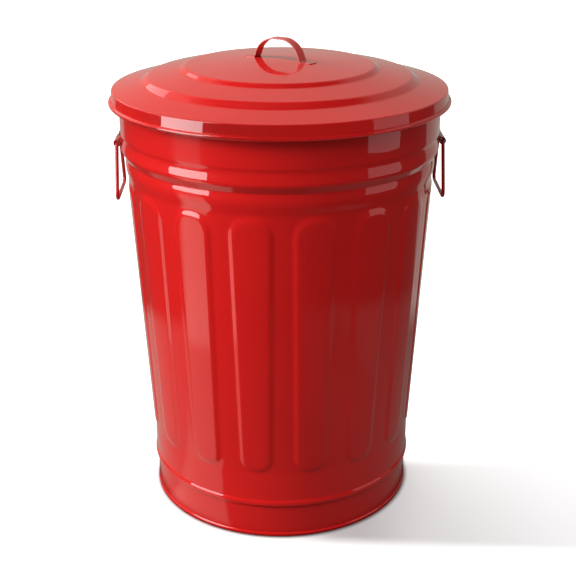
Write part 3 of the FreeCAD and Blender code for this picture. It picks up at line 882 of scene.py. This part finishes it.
def make_floor():
    """A white floor: the sun's shadow shows only in a painted strip where the glow is lowered, and
    the glow fades to a painted contact shadow at the foot.
    """
    mesh = bmesh.new()
    bmesh.ops.create_grid(mesh, x_segments=1, y_segments=1, size=FLOOR_HALF)
    data = bpy.data.meshes.new("floor")
    mesh.to_mesh(data)
    mesh.free()
    material = bpy.data.materials.new("floor_paper")
    finish = Finish(material)
    x, y = finish.split(finish.node("ShaderNodeTexCoord", output="Object"))[:2]
    seen = finish.node("ShaderNodeLightPath", output="Is Camera Ray")
    mirrored = finish.node("ShaderNodeLightPath", output="Is Glossy Ray")
    # A painted shadow strip to the right of the can: the white glow is lowered there by a painted
    # depth, so the sun's shadow shows only inside it.
    painted_shadow_front = (y + x * 0.1).rise(-0.212, -0.176)
    painted_shadow_strip = painted_shadow_front * (1 - y.rise(-0.012, 0.042)) * x.rise(-0.04, 0.08)
    away = distance_out(finish, x, y)
    painted_shadow_depth = (1 - x.rise(0.1, 0.2)) * 0.17 + 0.47
    # The glow also fades to nothing at the foot's edge, which is a painted contact shadow.
    glow = (1 - painted_shadow_strip * painted_shadow_depth) * away.rise(FOOT_REACH, 0.196)
    paper = finish.node("ShaderNodeBsdfDiffuse", None, {"Color": FLOOR_WHITE})
    shine = finish.node("ShaderNodeEmission", None, {"Color": glow})
    both = finish.node("ShaderNodeAddShader", None, {0: paper, 1: shine})
    # Dim light that the floor sends to matt surfaces, with painted shade under the foot's roll.
    bounce = finish.node("ShaderNodeEmission", None, {"Color": past_foot(away) * FLOOR_BOUNCE})
    mirror = finish.node("ShaderNodeEmission", None, {"Color": finish.warm(floor_glow(finish))})
    unseen = finish.node("ShaderNodeMixShader", None, {0: mirrored, 1: bounce, 2: mirror})
    surface = finish.node("ShaderNodeMixShader", None, {0: seen, 1: unseen, 2: both})
    finish.node("ShaderNodeOutputMaterial", None, {"Surface": surface})
    data.materials.append(material)
    floor = bpy.data.objects.new("floor", data)
    bpy.context.scene.collection.objects.link(floor)
    return floor


def light_world():
    """White for the camera, dim room light for matt surfaces and a studio for the gloss."""
    world = bpy.data.worlds.new("studio")
    bpy.context.scene.world = world
    finish = Finish(world)
    y, z = finish.split(finish.node("ShaderNodeTexCoord", output="Generated"))[1:]
    path = finish.node("ShaderNodeLightPath")
    mirrored = path["Is Glossy Ray"]
    clear = path["Is Camera Ray"] + path["Is Transmission Ray"]
    behind = y.rise(-0.15, 0.2)
    wall = z.rise(0.4, 0.6) * 0.08 + 0.4
    studio = finish.warm(behind * wall * (1 - z.rise(0.7, 0.85)) + STUDIO_DARK)
    plain = clear + (1 - clear) * ROOM_LEVEL
    level = finish.blend(mirrored, plain, studio)
    background = finish.node("ShaderNodeBackground", None, {"Color": level, "Strength": 1.0})
    finish.node("ShaderNodeOutputWorld", None, {"Surface": background})


place_camera()
floor = make_floor()
light_world()

# Azimuth and elevation in degrees, distance and size in metres, level.
key_gloss = place_lamp("key_softbox", -64.3, 22, 1.7, (1.0, 1.75), 8)
key_gloss.visible_diffuse = False
key = place_lamp("key_light", -72, 22, 3.2, (1.0, 2.0), 16.5)
can_fill = place_lamp("can_fill_light", -20, 50, 4, (2.0, 2.0), 5.3)
lid_key = place_lamp("lid_light", -110, 35, 1.9, (0.6, 1.2), 21)
lid_fill = place_lamp("lid_fill_light", -20, 4, 2.2, (1.2, 1.2), 3.4)
top = place_lamp("top_light", -60, 75, 2.2, (1.2, 1.2), 3.4)
for lamp in (key, can_fill, lid_key, lid_fill, top):
    lamp.visible_glossy = False
side_gloss = place_lamp("side_softbox", 73, 12, 1.9, (1.0, 1.5), 0.8)
back_gloss = place_lamp("back_softbox", -138, 31, 2.2, (0.8, 0.7), 1.3)
lid_things = [bpy.data.objects["lid"], bpy.data.objects["lid_strap"]]
for lamp in (key_gloss, side_gloss, back_gloss, top):
    light_only(lamp, [floor], "EXCLUDE")
for lamp in (key, can_fill):
    light_only(lamp, [floor, *lid_things], "EXCLUDE")
for lamp in (lid_key, lid_fill):
    light_only(lamp, lid_things, "INCLUDE")

sun = bpy.data.lights.new("floor_light", "SUN")
sun.energy = SUN_LEVEL * math.pi
sun.angle = math.radians(55)
floor_light = bpy.data.objects.new("floor_light", sun)
floor_light.rotation_euler = way_to(-142, 50).to_track_quat("Z", "Y").to_euler()
bpy.context.scene.collection.objects.link(floor_light)
light_only(floor_light, [floor], "INCLUDE")

bpy.context.scene.view_settings.view_transform = "Standard"
